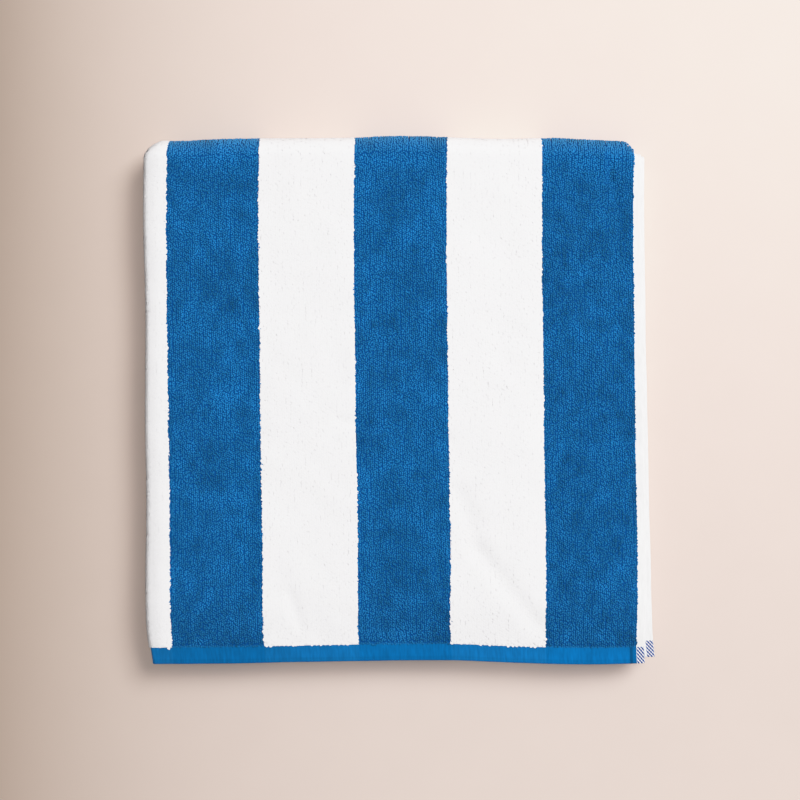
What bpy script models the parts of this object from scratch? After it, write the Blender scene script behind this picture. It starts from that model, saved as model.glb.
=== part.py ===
"""A beach towel of terry cloth in wide blue and white stripes, folded and lying flat.

It is folded in half along its length, which puts the fold on the left and both selvedges on the
right, and then twice across. Four doubled layers lie on each other, with both hems at the front.
Metres, +Z up; the origin is under the middle of the folded towel, on the surface it lies on.
"""

import math

import bpy
import numpy as np

# Across the flat towel, from its middle out to either side
CENTRE_STRIPE = 0.041
BLUE_STRIPE = 0.0798
WHITE_STRIPE = 0.082
EDGE_STRIPE = 0.0790
SELVEDGE = 0.007
SIDE_STRIPES = (BLUE_STRIPE, WHITE_STRIPE, BLUE_STRIPE, WHITE_STRIPE, EDGE_STRIPE)
FLAT_WIDTH = CENTRE_STRIPE + 2 * (sum(SIDE_STRIPES) + SELVEDGE)

# The cloth's thickness, and how far its layers lie apart
PILE_THICKNESS = 0.0038
HEM_THICKNESS = 0.0020
SELVEDGE_THICKNESS = 0.0014
HEM = 0.0145
PILE_RISE = 0.0020
LAYER_GAP = 0.0006
SHEET_PITCH = PILE_THICKNESS + LAYER_GAP
DOUBLED_PITCH = 2 * SHEET_PITCH
SIDE_FOLD_RADIUS = SHEET_PITCH / 2
SIDE_FOLD_OUTSIDE = SIDE_FOLD_RADIUS + PILE_THICKNESS / 2

# Ends of the folded towel. The stack is deepest at the back, where the outer layer turns round the rest.
LEFT_SIDE = -0.2191
BACK_END = 0.2275
TOP_HEM_END = -0.2270
HEM_BENEATH_END = -0.2200
FRONT_FOLD_END = -0.2215
STACK_MIDDLE = SIDE_FOLD_OUTSIDE + 1.5 * DOUBLED_PITCH
BACK_BEND_OUTSIDE = 1.5 * DOUBLED_PITCH + SIDE_FOLD_OUTSIDE
BACK_BEND_Y = BACK_END - BACK_BEND_OUTSIDE
FRONT_BEND_Y = FRONT_FOLD_END + DOUBLED_PITCH / 2 + SIDE_FOLD_OUTSIDE

# The towel's length from its top hem: each run lies on one doubled layer, 0 the lowest, and turns into the next
# run layer, start y, end y, rows of faces in the turn after it
RUNS = (
    (3, TOP_HEM_END, BACK_BEND_Y, 8),
    (0, BACK_BEND_Y, FRONT_BEND_Y, 6),
    (1, FRONT_BEND_Y, BACK_BEND_Y, 8),
    (2, BACK_BEND_Y, HEM_BENEATH_END, 0),
)

# Where rows and columns of faces end: rows cross every layer at the same y, closer where the front droops,
# and the stripes are split at these shares of their widths
CROSSINGS = (-0.2005, -0.188, -0.172, -0.150, -0.100, -0.010, 0.100)
SIDE_FOLD_COLUMNS = 6
BESIDE_SIDE_FOLD = (0.004, 0.009)
EDGE_STRIPE_SHARES = (0.15, 0.30, 0.55, 1.0)
STRIPE_SHARES = (0.5, 1.0)

# How the doubled layers lie, from the top hem (0) round the outer back turn (1), the front turn (2) and
# the inner back turn (3) to the hem beneath (4)
# station, side fold in from the left side, towel's middle line in from the side fold, how far the under
# sheet's selvedge reaches out
LAY = (
    (0.00, 0.0016, 0.0012, 0.0044),
    (0.05, -0.0002, 0.0013, 0.0038),
    (0.11, -0.0008, 0.0014, 0.0028),
    (0.17, -0.0008, 0.0013, 0.0026),
    (0.25, 0.0002, 0.0017, 0.0010),
    (0.34, 0.0008, 0.0024, -0.0002),
    (0.45, 0.0007, 0.0024, 0.0000),
    (0.53, 0.0014, 0.0028, -0.0014),
    (0.60, 0.0021, 0.0033, -0.0030),
    (0.68, 0.0024, 0.0036, -0.0034),
    (0.79, 0.0012, 0.0032, -0.0026),
    (0.88, 0.0008, 0.0030, -0.0022),
    (0.97, 0.0014, 0.0030, -0.0022),
    (1.50, 0.0030, 0.0006, 0.0000),
    (2.00, 0.0034, -0.0006, 0.0000),
    (2.50, 0.0022, 0.0010, 0.0000),
    (3.00, 0.0014, 0.0004, 0.0000),
    (3.50, 0.0016, 0.0002, 0.0000),
    (4.00, 0.0040, -0.0012, 0.0000),
)
UNDER_SHEET_SLANT = 0.0052

# The outline seen from above
# x, how far the back lies out there
BACK_OUTLINE = (
    (-0.205, -0.0026),
    (-0.185, -0.0024),
    (-0.155, -0.0010),
    (-0.120, -0.0005),
    (-0.070, -0.0002),
    (-0.043, 0.0002),
    (0.000, 0.0019),
    (0.034, 0.0012),
    (0.060, -0.0003),
    (0.090, -0.0014),
    (0.140, -0.0004),
    (0.172, -0.0016),
    (0.215, -0.0030),
)
# x, how far the front lies in there
FRONT_OUTLINE = (
    (-0.215, -0.0004),
    (-0.160, 0.0002),
    (-0.075, 0.0012),
    (0.010, 0.0022),
    (0.050, 0.0022),
    (0.080, 0.0010),
    (0.160, -0.0010),
    (0.220, -0.0006),
)
LEFT_CORNER_REACH = 0.016
LEFT_CORNER_DEPTH = 0.60
LEFT_CORNER_TUCK = 0.006
LEFT_CORNER_TUCK_REACH = 0.032
RIGHT_CORNER_START = 0.1870
RIGHT_CORNER_REACH = 0.034
RIGHT_CORNER_DEPTH = 0.55
SKEW = 0.0038
SKEW_START = 0.125
SKEW_END = -0.20
HEM_PULL = 0.006
HEM_PULL_REACH = 0.050

# The height of the stack: lower where the thin hems and selvedges lie, and gently uneven between
HEM_DROOP = 0.0045
HEM_DROOP_REACH = 0.055
SELVEDGE_DROOP = 0.10
SELVEDGE_DROOP_START = 0.170
SELVEDGE_DROOP_REACH = 0.045
# share of the height, waves a metre along x, waves a metre along y, phase
SWELLS = (
    (0.020, 2.3, 1.4, 0.7),
    (0.014, -1.7, 2.6, 2.1),
)

BLUE = (0.011, 0.117, 0.325, 1.0)
WHITE = (0.90, 0.89, 0.895, 1.0)
ROUGHNESS = 0.95


def clear_scene():
    for obj in list(bpy.data.objects):
        bpy.data.objects.remove(obj, do_unlink=True)


def ease(value):
    """0 up to 0, 1 from 1 on, and a smooth rise between them."""
    value = np.clip(value, 0.0, 1.0)
    return value * value * (3.0 - 2.0 * value)


def through(table, column, value):
    """The smooth curve through a table's points, where the first column is the place along it."""
    places = np.array([row[0] for row in table])
    levels = np.array([row[column] for row in table])
    slopes = np.gradient(levels, places)
    value = np.clip(value, places[0], places[-1])
    index = np.clip(np.searchsorted(places, value) - 1, 0, len(places) - 2)
    width = places[index + 1] - places[index]
    share = (value - places[index]) / width
    rise = ease(share)
    start_swing = share * (1.0 - share) ** 2 * width * slopes[index]
    end_swing = share**2 * (1.0 - share) * width * slopes[index + 1]
    return levels[index] * (1.0 - rise) + levels[index + 1] * rise + start_swing - end_swing


def layer_height(layer):
    return SIDE_FOLD_OUTSIDE + layer * DOUBLED_PITCH


def stretches():
    """The middle line of the doubled cloth, as (length, place) for each run and each turn in order.
    place takes distances along the stretch and gives y, z and the outward normal's y and z."""
    found = []
    for index, (layer, start, end, _) in enumerate(RUNS):
        facing = 1.0 if index % 2 == 0 else -1.0
        found.append((abs(end - start), run_place(start, end, layer_height(layer), facing)))
        if index + 1 < len(RUNS):
            rise = layer_height(RUNS[index + 1][0]) - layer_height(layer)
            middle = layer_height(layer) + rise / 2
            found.append((math.pi * abs(rise) / 2, turn_place(start, end, middle, rise, facing)))
    return found


def run_place(start, end, height, facing):
    heading = math.copysign(1.0, end - start)

    def place(distance):
        still = np.ones_like(distance)
        return start + heading * distance, height * still, 0.0 * still, facing * still

    return place


def turn_place(start, end, middle, rise, facing):
    heading = math.copysign(1.0, end - start)
    radius = abs(rise) / 2
    above = -math.copysign(1.0, rise)

    def place(distance):
        angle = above * (math.pi / 2 - distance / radius)
        out_y, out_z = heading * np.cos(angle), np.sin(angle)
        side = facing * above
        return end + radius * out_y, middle + radius * out_z, side * out_y, side * out_z

    return place


STRETCHES = stretches()
ENDS = np.cumsum([length for length, _ in STRETCHES])
STARTS = ENDS - [length for length, _ in STRETCHES]
FLAT_LENGTH = float(ENDS[-1])


def middle_line(along):
    """y, z and the outward normal's y and z at each distance along the towel."""
    found = np.zeros((4,) + along.shape)
    stretch = np.minimum(np.searchsorted(ENDS, along, side="right"), len(STRETCHES) - 1)
    for index, (_, place) in enumerate(STRETCHES):
        inside = stretch == index
        values = place(along - STARTS[index])
        for row, value in zip(found, values):
            row[inside] = value[inside]
    return found


def station(along):
    """0 at the top hem, then 1, 2 and 3 at the middles of the turns, and 4 at the hem beneath."""
    turn_middles = (STARTS[1::2] + ENDS[1::2]) / 2
    marks = np.concatenate([[0.0], turn_middles, [FLAT_LENGTH]])
    return np.interp(along, marks, np.arange(len(marks)))


def half_thickness(across, along):
    """Half the cloth's thickness, thinner in the woven selvedges and in the hems."""
    from_side = np.minimum(across, FLAT_WIDTH - across)
    from_end = np.minimum(along, FLAT_LENGTH - along)
    side_share = np.clip((from_side - SELVEDGE) / PILE_RISE, 0.0, 1.0)
    end_share = np.clip((from_end - HEM) / PILE_RISE, 0.0, 1.0)
    at_side = SELVEDGE_THICKNESS + (PILE_THICKNESS - SELVEDGE_THICKNESS) * side_share
    at_end = HEM_THICKNESS + (PILE_THICKNESS - HEM_THICKNESS) * end_share
    return np.minimum(at_side, at_end) / 2


def neat_fold(across, along, face):
    """The folded towel before it settles. face is 1 for the face outside the side fold, -1 for the one inside."""
    where = station(along)
    side_fold = FLAT_WIDTH / 2 + through(LAY, 2, where)
    from_fold = across - side_fold
    turned = np.clip(from_fold / SIDE_FOLD_RADIUS, -math.pi / 2, math.pi / 2)
    flat_part = np.abs(from_fold) - np.abs(turned) * SIDE_FOLD_RADIUS
    radius = SIDE_FOLD_RADIUS + face * half_thickness(across, along)
    x = LEFT_SIDE + through(LAY, 1, where) + SIDE_FOLD_OUTSIDE - radius * np.cos(turned) + flat_part
    out = radius * np.sin(turned)
    first_run = ENDS[0]
    slant = np.clip(1.0 - along / first_run, 0.0, 1.0) - np.clip((along - STARTS[-1]) / first_run, 0.0, 1.0)
    under_share = np.clip(-from_fold / side_fold, 0.0, 1.0)
    x = x + through(LAY, 3, where) * under_share
    y, z, normal_y, normal_z = middle_line(along + UNDER_SHEET_SLANT * slant * under_share)
    return x, y + out * normal_y, z + out * normal_z


def plan_outline(x, y):
    """Rounds the back corners and moves the ends and sides to the folded towel's outline from above."""
    past_bend = np.clip(y - BACK_BEND_Y, 0.0, BACK_BEND_OUTSIDE)
    from_left = np.clip((x - LEFT_SIDE) / LEFT_CORNER_REACH, 0.0, 1.0)
    left_share = 1.0 - LEFT_CORNER_DEPTH * (1.0 - from_left) ** 2
    into_right = ease((x - RIGHT_CORNER_START) / RIGHT_CORNER_REACH)
    right_share = 1.0 - RIGHT_CORNER_DEPTH * into_right
    tuck = 1.0 - np.sqrt(np.clip(1.0 - (past_bend / BACK_BEND_OUTSIDE) ** 2, 0.0, 1.0))
    tuck_share = 1.0 - ease((x - LEFT_SIDE) / LEFT_CORNER_TUCK_REACH)
    hem_pull = HEM_PULL * ease((TOP_HEM_END + HEM_PULL_REACH - y) / HEM_PULL_REACH)
    skew = SKEW * ease((SKEW_START - y) / (SKEW_START - SKEW_END))
    to_back = ease(y / BACK_END)
    to_front = ease(y / TOP_HEM_END)
    new_y = y - past_bend * (1.0 - left_share * right_share)
    new_y = new_y + to_back * through(BACK_OUTLINE, 1, x) + to_front * through(FRONT_OUTLINE, 1, x)
    new_x = x * (1.0 - hem_pull) + skew + LEFT_CORNER_TUCK * tuck * tuck_share
    return new_x, new_y


def settled_height(x, y, z):
    """Lowers the stack over its hems and selvedges, and swells it gently elsewhere. The underside stays flat."""
    upper_share = np.clip((z - STACK_MIDDLE) / BACK_BEND_OUTSIDE, 0.0, 1.0)
    droop = HEM_DROOP * ease((TOP_HEM_END + HEM_DROOP_REACH - y) / HEM_DROOP_REACH)
    thin_side = SELVEDGE_DROOP * ease((x - SELVEDGE_DROOP_START) / SELVEDGE_DROOP_REACH)
    swell = 0.0
    for share, waves_x, waves_y, phase in SWELLS:
        swell = swell + share * np.sin(2 * math.pi * (waves_x * x + waves_y * y) + phase)
    return (z - droop * upper_share) * (1.0 - thin_side + swell)


def cloth_face(across, along, face):
    x, y, z = neat_fold(across, along, face)
    new_z = settled_height(x, y, z)
    new_x, new_y = plan_outline(x, y)
    return np.stack([new_x, new_y, new_z], axis=-1)


def row_places():
    """Distances along the towel where its rows of faces end."""
    hem_rows = [0.0, HEM, HEM + PILE_RISE]
    rows = list(hem_rows)
    for index, (_, start, end, turn_rows) in enumerate(RUNS):
        rows += sorted(STARTS[2 * index] + abs(y - start) for y in CROSSINGS)
        if turn_rows:
            rows += list(np.linspace(STARTS[2 * index + 1], ENDS[2 * index + 1], turn_rows + 1))
    return np.array(rows + [FLAT_LENGTH - place for place in reversed(hem_rows)])


def column_places(along):
    """Distances across the towel where its columns end, for each row, and the colour of each column.
    The columns in the side fold follow its line, and the others follow the stripes."""
    side = [0.0, SELVEDGE, SELVEDGE + PILE_RISE]
    side_colours = ["white", "blue"]
    place = SELVEDGE
    for index, stripe in enumerate(reversed(SIDE_STRIPES)):
        shares = STRIPE_SHARES if index else EDGE_STRIPE_SHARES
        side += [place + stripe * share for share in shares]
        side_colours += ["blue" if index % 2 == 0 else "white"] * len(shares)
        place += stripe
    half_arc = math.pi / 2 * SIDE_FOLD_RADIUS
    beside = [half_arc + value for value in BESIDE_SIDE_FOLD]
    arc = list(np.linspace(-half_arc, half_arc, SIDE_FOLD_COLUMNS + 1))
    fold_columns = [-value for value in reversed(beside)] + arc + beside
    offset = through(LAY, 2, station(along))
    one = np.ones(len(along))
    columns = [value * one for value in side]
    columns += [FLAT_WIDTH / 2 + offset + value for value in fold_columns]
    columns += [(FLAT_WIDTH - value) * one for value in reversed(side)]
    colours = side_colours + ["white"] * (len(fold_columns) + 1) + side_colours[::-1]
    return np.array(columns).T, colours


def quad_faces(rows, columns, colours, hem_rows):
    """The faces between the outer grid of points and the inner one, which follows it, and each face's colour."""
    inner = rows * columns
    faces, kinds = [], []
    for i in range(rows - 1):
        for j in range(columns - 1):
            corner = i * columns + j
            outer_face = (corner, corner + 1, corner + columns + 1, corner + columns)
            colour = "blue" if i in hem_rows else colours[j]
            faces += [outer_face, tuple(inner + k for k in reversed(outer_face))]
            kinds += [colour, colour]
    last_row = (rows - 1) * columns
    for j in range(columns - 1):
        faces.append((j, inner + j, inner + j + 1, j + 1))
        faces.append((last_row + j, last_row + j + 1, inner + last_row + j + 1, inner + last_row + j))
        kinds += ["blue", "blue"]
    for i in range(rows - 1):
        near, far = i * columns, (i + 1) * columns
        faces.append((near, far, inner + far, inner + near))
        near, far = near + columns - 1, far + columns - 1
        faces.append((far, near, inner + near, inner + far))
        kinds += ["white", "white"]
    return faces, kinds


def terry(name, colour):
    material = bpy.data.materials.new(name)
    material.use_nodes = True
    shader = material.node_tree.nodes["Principled BSDF"]
    shader.inputs["Base Color"].default_value = colour
    shader.inputs["Roughness"].default_value = ROUGHNESS
    shader.inputs["Metallic"].default_value = 0.0
    material.diffuse_color = colour
    return material


def make_towel():
    along = row_places()
    across, colours = column_places(along)
    along_grid = np.repeat(along[:, None], across.shape[1], axis=1)
    points = np.concatenate([cloth_face(across, along_grid, face).reshape(-1, 3) for face in (1, -1)])
    middle = (points.min(axis=0) + points.max(axis=0)) / 2
    points[:, :2] -= middle[:2]
    hem_rows = (0, len(along) - 2)
    faces, kinds = quad_faces(len(along), across.shape[1], colours, hem_rows)
    mesh = bpy.data.meshes.new("towel")
    mesh.from_pydata(points.tolist(), [], faces)
    mesh.materials.append(terry("blue_terry", BLUE))
    mesh.materials.append(terry("white_terry", WHITE))
    mesh.polygons.foreach_set("material_index", [int(kind == "white") for kind in kinds])
    mesh.shade_smooth()
    mesh.set_sharp_from_angle(angle=math.radians(50))
    towel = bpy.data.objects.new("towel", mesh)
    bpy.context.scene.collection.objects.link(towel)
    return towel


clear_scene()
make_towel()
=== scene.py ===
"""A folded beach towel of terry cloth in wide blue and white stripes: its looks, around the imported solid.

The cloth is one closed sheet that follows the solid's own folds, and rows of pile loops stand on each
face of it that shows. Metres, +Z up, in the solid's frame.
"""

import math
from collections import namedtuple

import bpy
import numpy as np
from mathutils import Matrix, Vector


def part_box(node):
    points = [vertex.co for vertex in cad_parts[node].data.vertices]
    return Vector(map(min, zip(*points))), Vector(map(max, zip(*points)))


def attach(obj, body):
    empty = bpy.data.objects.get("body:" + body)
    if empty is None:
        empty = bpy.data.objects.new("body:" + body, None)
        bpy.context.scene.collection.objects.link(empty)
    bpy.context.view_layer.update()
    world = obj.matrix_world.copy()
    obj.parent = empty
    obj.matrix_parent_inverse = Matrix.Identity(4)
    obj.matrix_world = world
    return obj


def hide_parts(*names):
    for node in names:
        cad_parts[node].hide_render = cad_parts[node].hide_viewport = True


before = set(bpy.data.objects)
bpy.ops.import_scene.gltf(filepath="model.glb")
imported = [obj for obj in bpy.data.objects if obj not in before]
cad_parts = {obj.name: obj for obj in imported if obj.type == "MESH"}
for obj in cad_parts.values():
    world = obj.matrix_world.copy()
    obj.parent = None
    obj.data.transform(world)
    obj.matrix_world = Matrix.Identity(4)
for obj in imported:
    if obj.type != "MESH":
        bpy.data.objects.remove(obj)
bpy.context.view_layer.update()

# Across the flat towel, from its middle out to either side
CENTRE_STRIPE = 0.041
BLUE_STRIPE = 0.0798
WHITE_STRIPE = 0.082
EDGE_STRIPE = 0.0790
SELVEDGE = 0.007
# How much wider the white edge of the under sheet is
UNDER_MARGIN = 0.0016
SIDE_STRIPES = (BLUE_STRIPE, WHITE_STRIPE, BLUE_STRIPE, WHITE_STRIPE, EDGE_STRIPE)
FLAT_WIDTH = CENTRE_STRIPE + 2 * (sum(SIDE_STRIPES) + SELVEDGE)

# The cloth's thickness, and how far its layers lie apart
PILE_THICKNESS = 0.0038
HEM_THICKNESS = 0.0020
SELVEDGE_THICKNESS = 0.0014
HEM = 0.0145
PILE_RISE = 0.0020
LAYER_GAP = 0.0006
SHEET_PITCH = PILE_THICKNESS + LAYER_GAP
DOUBLED_PITCH = 2 * SHEET_PITCH
SIDE_FOLD_RADIUS = SHEET_PITCH / 2
SIDE_FOLD_OUTSIDE = SIDE_FOLD_RADIUS + PILE_THICKNESS / 2

# Ends of the folded towel
LEFT_SIDE = -0.2191
BACK_END = 0.2275
TOP_HEM_END = -0.2270
HEM_BENEATH_END = -0.2200
FRONT_FOLD_END = -0.2215
STACK_MIDDLE = SIDE_FOLD_OUTSIDE + 1.5 * DOUBLED_PITCH
BACK_BEND_OUTSIDE = 1.5 * DOUBLED_PITCH + SIDE_FOLD_OUTSIDE
BACK_BEND_Y = BACK_END - BACK_BEND_OUTSIDE
FRONT_BEND_Y = FRONT_FOLD_END + DOUBLED_PITCH / 2 + SIDE_FOLD_OUTSIDE

# The towel's length from its top hem, as runs that each lie on one doubled layer and turn into the next
# layer (0 is the lowest), start y, end y
RUNS = (
    (3, TOP_HEM_END, BACK_BEND_Y),
    (0, BACK_BEND_Y, FRONT_BEND_Y),
    (1, FRONT_BEND_Y, BACK_BEND_Y),
    (2, BACK_BEND_Y, HEM_BENEATH_END),
)

# How the doubled layers lie, from the top hem (0) round the outer back turn (1), the front turn (2) and
# the inner back turn (3) to the hem beneath (4)
# station, side fold in from the left side, towel's middle line in from the side fold, how far the under
# sheet's selvedge reaches out
LAY = (
    (0.00, 0.0022, 0.0018, 0.0053),
    (0.05, -0.0002, 0.0009, 0.0056),
    (0.11, -0.0008, 0.0004, 0.0053),
    (0.17, -0.0008, 0.0003, 0.0050),
    (0.25, 0.0002, 0.0011, 0.0027),
    (0.34, 0.0008, 0.0017, 0.0013),
    (0.45, 0.0007, 0.0017, 0.0013),
    (0.53, 0.0014, 0.0021, 0.0000),
    (0.60, 0.0021, 0.0027, -0.0018),
    (0.68, 0.0024, 0.0031, -0.0022),
    (0.79, 0.0012, 0.0022, -0.0008),
    (0.88, 0.0008, 0.0017, -0.0003),
    (0.97, 0.0014, 0.0019, -0.0006),
    (1.50, 0.0030, 0.0006, 0.0000),
    (2.00, 0.0034, -0.0006, 0.0000),
    (2.50, 0.0022, 0.0010, 0.0000),
    (3.00, 0.0014, 0.0004, 0.0000),
    (3.50, 0.0016, 0.0002, 0.0000),
    (4.00, 0.0040, -0.0012, 0.0000),
)
UNDER_SHEET_SLANT = 0.0052

# The outline seen from above
# x, how far the back lies out there
BACK_OUTLINE = (
    (-0.205, -0.0026),
    (-0.185, -0.0024),
    (-0.155, -0.0010),
    (-0.120, -0.0005),
    (-0.070, -0.0002),
    (-0.043, 0.0002),
    (0.000, 0.0019),
    (0.034, 0.0012),
    (0.060, 0.0000),
    (0.090, -0.0007),
    (0.140, 0.0000),
    (0.172, -0.0016),
    (0.215, -0.0030),
)
# x, how far the front lies in there
FRONT_OUTLINE = (
    (-0.215, -0.0008),
    (-0.160, -0.0004),
    (-0.075, 0.0012),
    (0.010, 0.0022),
    (0.050, 0.0022),
    (0.080, 0.0010),
    (0.160, -0.0010),
    (0.220, -0.0006),
)
LEFT_CORNER_REACH = 0.014
LEFT_CORNER_DEPTH = 0.50
LEFT_CORNER_TUCK = 0.006
LEFT_CORNER_TUCK_REACH = 0.032
RIGHT_CORNER_START = 0.1970
RIGHT_CORNER_REACH = 0.0110
RIGHT_CORNER_DEPTH = 0.55
SKEW = 0.0038
SKEW_START = 0.125
SKEW_END = -0.20
HEM_PULL = 0.006
HEM_PULL_REACH = 0.050

# The height of the stack: lower where the thin hems and selvedges lie, and gently uneven between
HEM_DROOP = 0.0045
HEM_DROOP_REACH = 0.055
SELVEDGE_DROOP = 0.10
SELVEDGE_DROOP_START = 0.170
SELVEDGE_DROOP_REACH = 0.045
# share of the height, waves a metre along x, waves a metre along y, phase
SWELLS = (
    (0.020, 2.3, 1.4, 0.7),
    (0.014, -1.7, 2.6, 2.1),
)

# The soft creases pressed into the top layers, each a trough from one place to another
# start x, start y, end x, end y, half width, depth
CREASES = (
    (0.181, 0.214, 0.184, 0.190, 0.0035, 0.0014),
    (0.184, 0.190, 0.194, 0.150, 0.0050, 0.0010),
    (0.152, 0.098, 0.196, 0.058, 0.0080, 0.0013),
    (0.050, -0.080, 0.067, -0.130, 0.0090, 0.0009),
    (0.067, -0.130, 0.115, -0.192, 0.0095, 0.0013),
    (-0.200, -0.016, -0.125, -0.030, 0.0130, 0.0009),
    (-0.050, -0.018, 0.042, -0.034, 0.0060, 0.0008),
    (0.135, -0.030, 0.205, -0.040, 0.0120, 0.0008),
    (-0.096, -0.168, -0.088, -0.196, 0.0060, 0.0008),
    (0.028, -0.140, 0.036, -0.172, 0.0050, 0.0008),
    (-0.168, -0.085, -0.128, -0.072, 0.0120, 0.0009),
)
# The cloth's slow unevenness: height, size of a swell, seed
UNEVENNESS = (
    (0.0008, 0.045, 11),
    (0.0004, 0.018, 12),
)

# The loose edges of the hems and selvedges
EDGE_WAVE = 0.0008
EDGE_WAVE_SIZE = 0.026
EDGE_SAG = 0.0006
LOOSE_SELVEDGE = 0.012
LOOSE_HEM = 0.018
LOOSE_ABOVE_FLOOR = 0.006
SIDE_WAVE_SEED = 41
END_WAVE_SEED = 42

# The pile: loops of soft yarn in rows along the warp, standing on the ground weave
BLUE_GROUND_DEPTH = 0.00092
WHITE_GROUND_DEPTH = 0.00065
LOOP_ANGLES = tuple(math.radians(angle) for angle in (8.0, 62.0, 118.0, 172.0))
# the corners of a loop's cross-section: share of its width aside, share of its thickness outwards
RING_CORNERS = ((0.5, 0.0), (0.0, 0.5), (-0.5, 0.0))
LOOP_LEAN = 0.00028
LOOP_NAP = -0.0002
# A loop's height over its roots, how far it reaches to each side of its middle, its yarn's width and
# thickness, how deep its roots lie below the cloth's surface, and how softly it is shaded. Then its pitch
# across and along the towel, how unevenly a stripe's outermost rows stand, as a share of the pitch, and how
# far outside the stripe they may stand
Loop = namedtuple("Loop", "height reach width thickness sunk softness across along looseness outset")
BLUE_LOOP = Loop(0.00085, 0.00066, 0.00122, 0.00080, 0.00110, 0.35, 0.00174, 0.0018, 0.32, 0.0003)
WHITE_LOOP = Loop(0.00042, 0.00152, 0.00242, 0.00070, 0.00055, 0.92, 0.0020, 0.0022, 0.13, -0.0004)
# How far the loops stand out where the cloth bends
BEND_PUFF = 0.0007
# How unevenly loops stand along their row and across it, and how unevenly the outermost rows beside the
# selvedge do. The first loops at a hem are so many times as uneven as a stripe's outermost rows
ALONG_LOOSENESS = 0.16
ROW_LOOSENESS = 0.11
SELVEDGE_LOOSENESS = 0.12
HEM_RAGGEDNESS = 1.5
# How far from the hem the first loops stand, and how far over it and over the woven selvedge they may hang
FIRST_LOOPS = 0.0008
HEM_OVERHANG = 0.0008
SELVEDGE_OVERHANG = 0.0004
# Swells in the pile: how far the loops' heading turns and their height changes, and over what distance
RUFFLE_TURN = math.radians(34.0)
RUFFLE_TURN_SIZE = 0.014
RUFFLE_RISE = 0.22
RUFFLE_RISE_SIZE = 0.007
LOOSE_TWIST = math.radians(19.0)
# The least and the most of a loop's own height and reach
LOOP_HEIGHTS = (0.75, 1.2)
LOOP_REACHES = (0.85, 1.15)
# How a loop's shading turns aside and outwards at its corners, how much painted light its flanks get, and
# how much more it gets outwards
CORNER_TILT = (1.6, 0.5)
FLANK_PAINTED_LIGHT = 0.7
OUTWARD_PAINTED_LIGHT = 0.6
LOWEST_LOOP = 0.0001
# How far a row of loops and a stripe's edge wander, over what distance, and how soon the rows differ
ROW_WANDER = 0.00032
ROW_WANDER_SIZE = 0.016
ROW_STEP = 0.3
STRIPE_WANDER = 0.00035
STRIPE_WANDER_SIZE = 0.009
FOLD_CROWDING = SIDE_FOLD_RADIUS / SIDE_FOLD_OUTSIDE
# The strips of pile at the side fold, and beside the selvedges of the layers that lie hidden
HALF_ARC = math.pi / 2 * SIDE_FOLD_RADIUS
TOP_FOLD_PILE = HALF_ARC + 0.002
HIDDEN_FOLD_PILE = 0.86 * HALF_ARC
TUFT_COLUMNS = 2
TUFT_REACH = TUFT_COLUMNS * WHITE_LOOP.across
TUFT_START = 0.001
# Seeds of the pile's noise
ROW_SEED = 21
STRIPE_SEED = 22
TURN_SEED = 31
RISE_SEED = 32
LOOSE_SEED = 2024

# Rows and columns of the sheet's faces
FINE_ROWS = 0.0048
FINE_COLUMNS = 0.0058
HIDDEN_ROWS = 0.012
HIDDEN_COLUMNS = 0.014
HEM_ROWS = 0.0025
SELVEDGE_COLUMNS = 0.0016
FOLD_STEPS = 14
# Columns beside the arc of the side fold, and how far from the towel's middle the even columns start
BESIDE_FOLD = (0.004, 0.009)
UNDER_START = 0.016
OVER_START = 0.018
EDGE_STEPS = (0.0, 0.0001, 0.0004, 0.0010, 0.0022)
EDGE_ROUNDING = 0.0009
EDGE_BLUNTNESS = 0.97
# Rows and columns of the places from which the towel's outline is measured, and of the noise's own grid
MEASURED_ROWS = 1200
MEASURED_COLUMNS = 240
NOISE_LATTICE = 256

# The cloth's map. Each face of the cloth takes this width of it, with more room for selvedges and hems
FACE_WIDTH = 0.45
MAP_MARGIN = 0.02
OUTER_START = 0.02
INNER_START = 0.53
# real width, share of the map
SELVEDGE_ROOM = (0.012, 0.09)
HEM_ROOM = (0.020, 0.07)
# start, width
FRONT_RIM = (0.004, 0.009)
END_RIM = (0.987, 0.009)
LEFT_RIM = (0.478, 0.012)
RIGHT_RIM = (0.508, 0.012)
CELL_MARGIN = 0.06

# Colours of the yarns, as the light leaves them
BLUE_YARN = (0.0155, 0.215, 0.485, 1.0)
# Painted shade: the dark blue between the loops and on the ground under them
BLUE_PAINTED_SHADE = (0.0006, 0.071, 0.258, 1.0)
WHITE_YARN = (0.912, 0.898, 0.908, 1.0)
# Painted shade: the greyer white between the loops and on the ground under them
WHITE_PAINTED_SHADE = (0.88, 0.868, 0.876, 1.0)
WHITE_SELVEDGE = (0.880, 0.872, 0.870, 1.0)
# A pale blue painted as sheen where the pile opens over the back turn
PAINTED_SHEEN_BLUE = (0.13, 0.40, 0.60, 1.0)
BLUE_HEM = (0.0003, 0.137, 0.385, 1.0)
PALE_BLUE_HEM = (0.0030, 0.151, 0.408, 1.0)
BLUE_WEFT = (0.002, 0.050, 0.260, 1.0)

# The levels that a finish sets on its shader
COTTON = {"Roughness": 0.95, "Specular IOR Level": 0.05, "Sheen Weight": 0.05, "Sheen Roughness": 0.6}
PLASTER = {"Roughness": 0.9}

# How a kind of pile is coloured: its yarn, the painted shade deep between its loops, how much the loops
# differ, how strong the dye's streaks and patches are, and how strong the pale painted sheen is where it
# opens over the back turn
PileColour = namedtuple("PileColour", "yarn deep difference streaks patches fading")
BLUE_PILE = PileColour(BLUE_YARN, BLUE_PAINTED_SHADE, 0.115, 0.05, 0.25, 0.22)
WHITE_PILE = PileColour(WHITE_YARN, WHITE_PAINTED_SHADE, 0.006, 0.002, 0.001, 0.0)
# How sharply the painted light gathers on the loops' crests
PAINTED_CREST_SHARPNESS = 1.2
# How unevenly the loops on the hidden faces stand
HIDDEN_LOOSENESS = 0.6

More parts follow.
